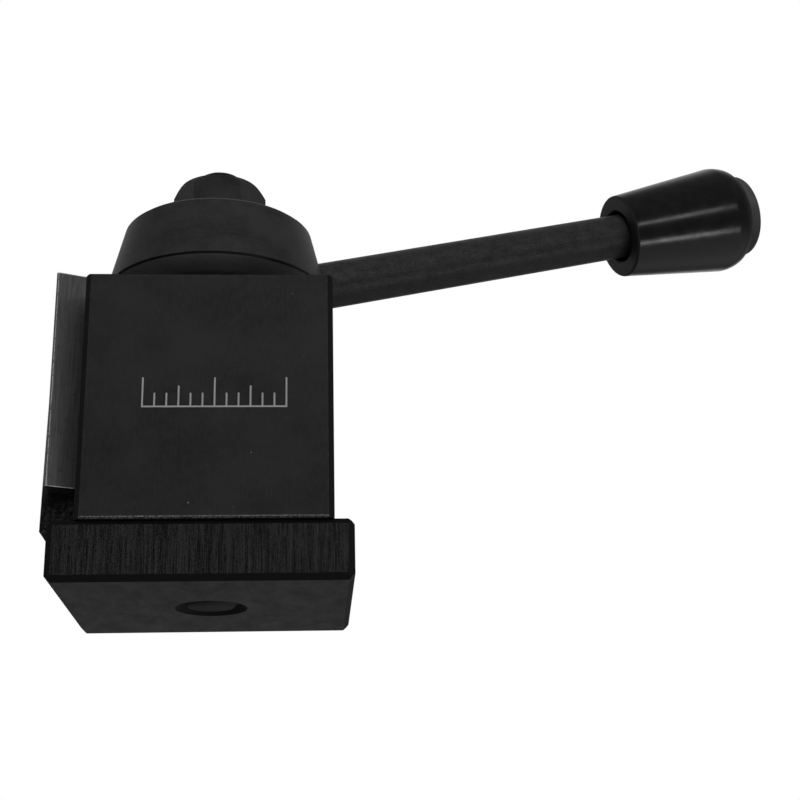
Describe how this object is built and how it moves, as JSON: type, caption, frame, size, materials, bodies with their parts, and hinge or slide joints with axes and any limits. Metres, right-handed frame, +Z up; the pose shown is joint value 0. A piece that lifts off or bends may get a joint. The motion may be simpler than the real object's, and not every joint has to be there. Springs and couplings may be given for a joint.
{
  "type": "quick change tool post",
  "caption": "Wedge-type lathe tool post: two dovetails with sliding wedges driven by a cam sleeve under a lever handle, on a T-nut, stud and nut.",
  "frame": {"origin": "where the stud's axis meets the plane of the T-nut's underside", "axes": "+Z up along the stud, +X towards the handle side, +Y towards the rear dovetail; the side dovetail faces -X"},
  "size_m": [0.1469, 0.0544, 0.1016],
  "materials": {
    "black_oxide_steel": "black oxide, satin, finely ground",
    "black_milled_steel": "black oxide over milling marks",
    "black_turned_steel": "black oxide over turning marks",
    "black_rod_steel": "black oxide, scuffed lengthwise",
    "ground_steel": "ground, brushed lengthwise",
    "hardened_steel": "hardened and turned",
    "bright_steel": "bright",
    "bronze": "oiled bronze",
    "brass": "turned brass",
    "black_phenolic": "moulded, glossy"
  },
  "bodies": {
    "base": {"t_nut": "black_milled_steel", "centre_stud": "black_turned_steel"},
    "post": {"post_body": "black_oxide_steel", "centre_bushing": "bright_steel", "lower_thrust_washer": "bronze", "upper_thrust_washer": "bronze", "drag_plug": "bronze", "drag_spring": "bright_steel", "drag_screw": "black_turned_steel"},
    "handle": {"handle_hub": "black_turned_steel", "cam_sleeve": "hardened_steel", "hub_dowels": "bright_steel", "rod_lock_screw": "black_turned_steel", "handle_rod": "black_rod_steel", "handle_knob": "black_phenolic", "knob_insert": "brass"},
    "side_lock": {"side_wedge": "ground_steel", "side_drive_pin": "bright_steel"},
    "rear_lock": {"rear_wedge": "ground_steel", "rear_drive_pin": "bright_steel"},
    "washer": {"clamp_washer": "black_turned_steel"},
    "nut": {"clamp_nut": "black_turned_steel"}
  },
  "joints": [
    {"name": "post_swivel", "type": "hinge", "parent": "base", "child": "post", "pos_m": [0, 0, 0.0108], "axis": [0, 0, 1], "continuous": true},
    {"name": "handle_turn", "type": "hinge", "parent": "post", "child": "handle", "pos_m": [0, 0, 0.0566], "axis": [0, 0, -1], "range_deg": [0, 90]},
    {"name": "side_wedge_slide", "type": "slide", "parent": "post", "child": "side_lock", "axis": [0, -0.0698, -0.9976], "range_m": [0, 0.0063]},
    {"name": "rear_wedge_slide", "type": "slide", "parent": "post", "child": "rear_lock", "axis": [-0.0698, 0, -0.9976], "range_m": [0, 0.0063]},
    {"name": "washer_lift", "type": "slide", "parent": "base", "child": "washer", "axis": [0, 0, 1], "range_m": [0, 0.003]},
    {"name": "nut_turn", "type": "hinge", "parent": "washer", "child": "nut", "pos_m": [0, 0, 0.0769], "axis": [0, 0, 1], "range_deg": [0, 720]}
  ],
  "couplings": [
    {"joint": "side_wedge_slide", "follows": "handle_turn", "m_per_rad": 0.0040107},
    {"joint": "rear_wedge_slide", "follows": "handle_turn", "m_per_rad": 0.0040107},
    {"joint": "nut_turn", "follows": "washer_lift", "rad_per_m": 4188.8}
  ]
}
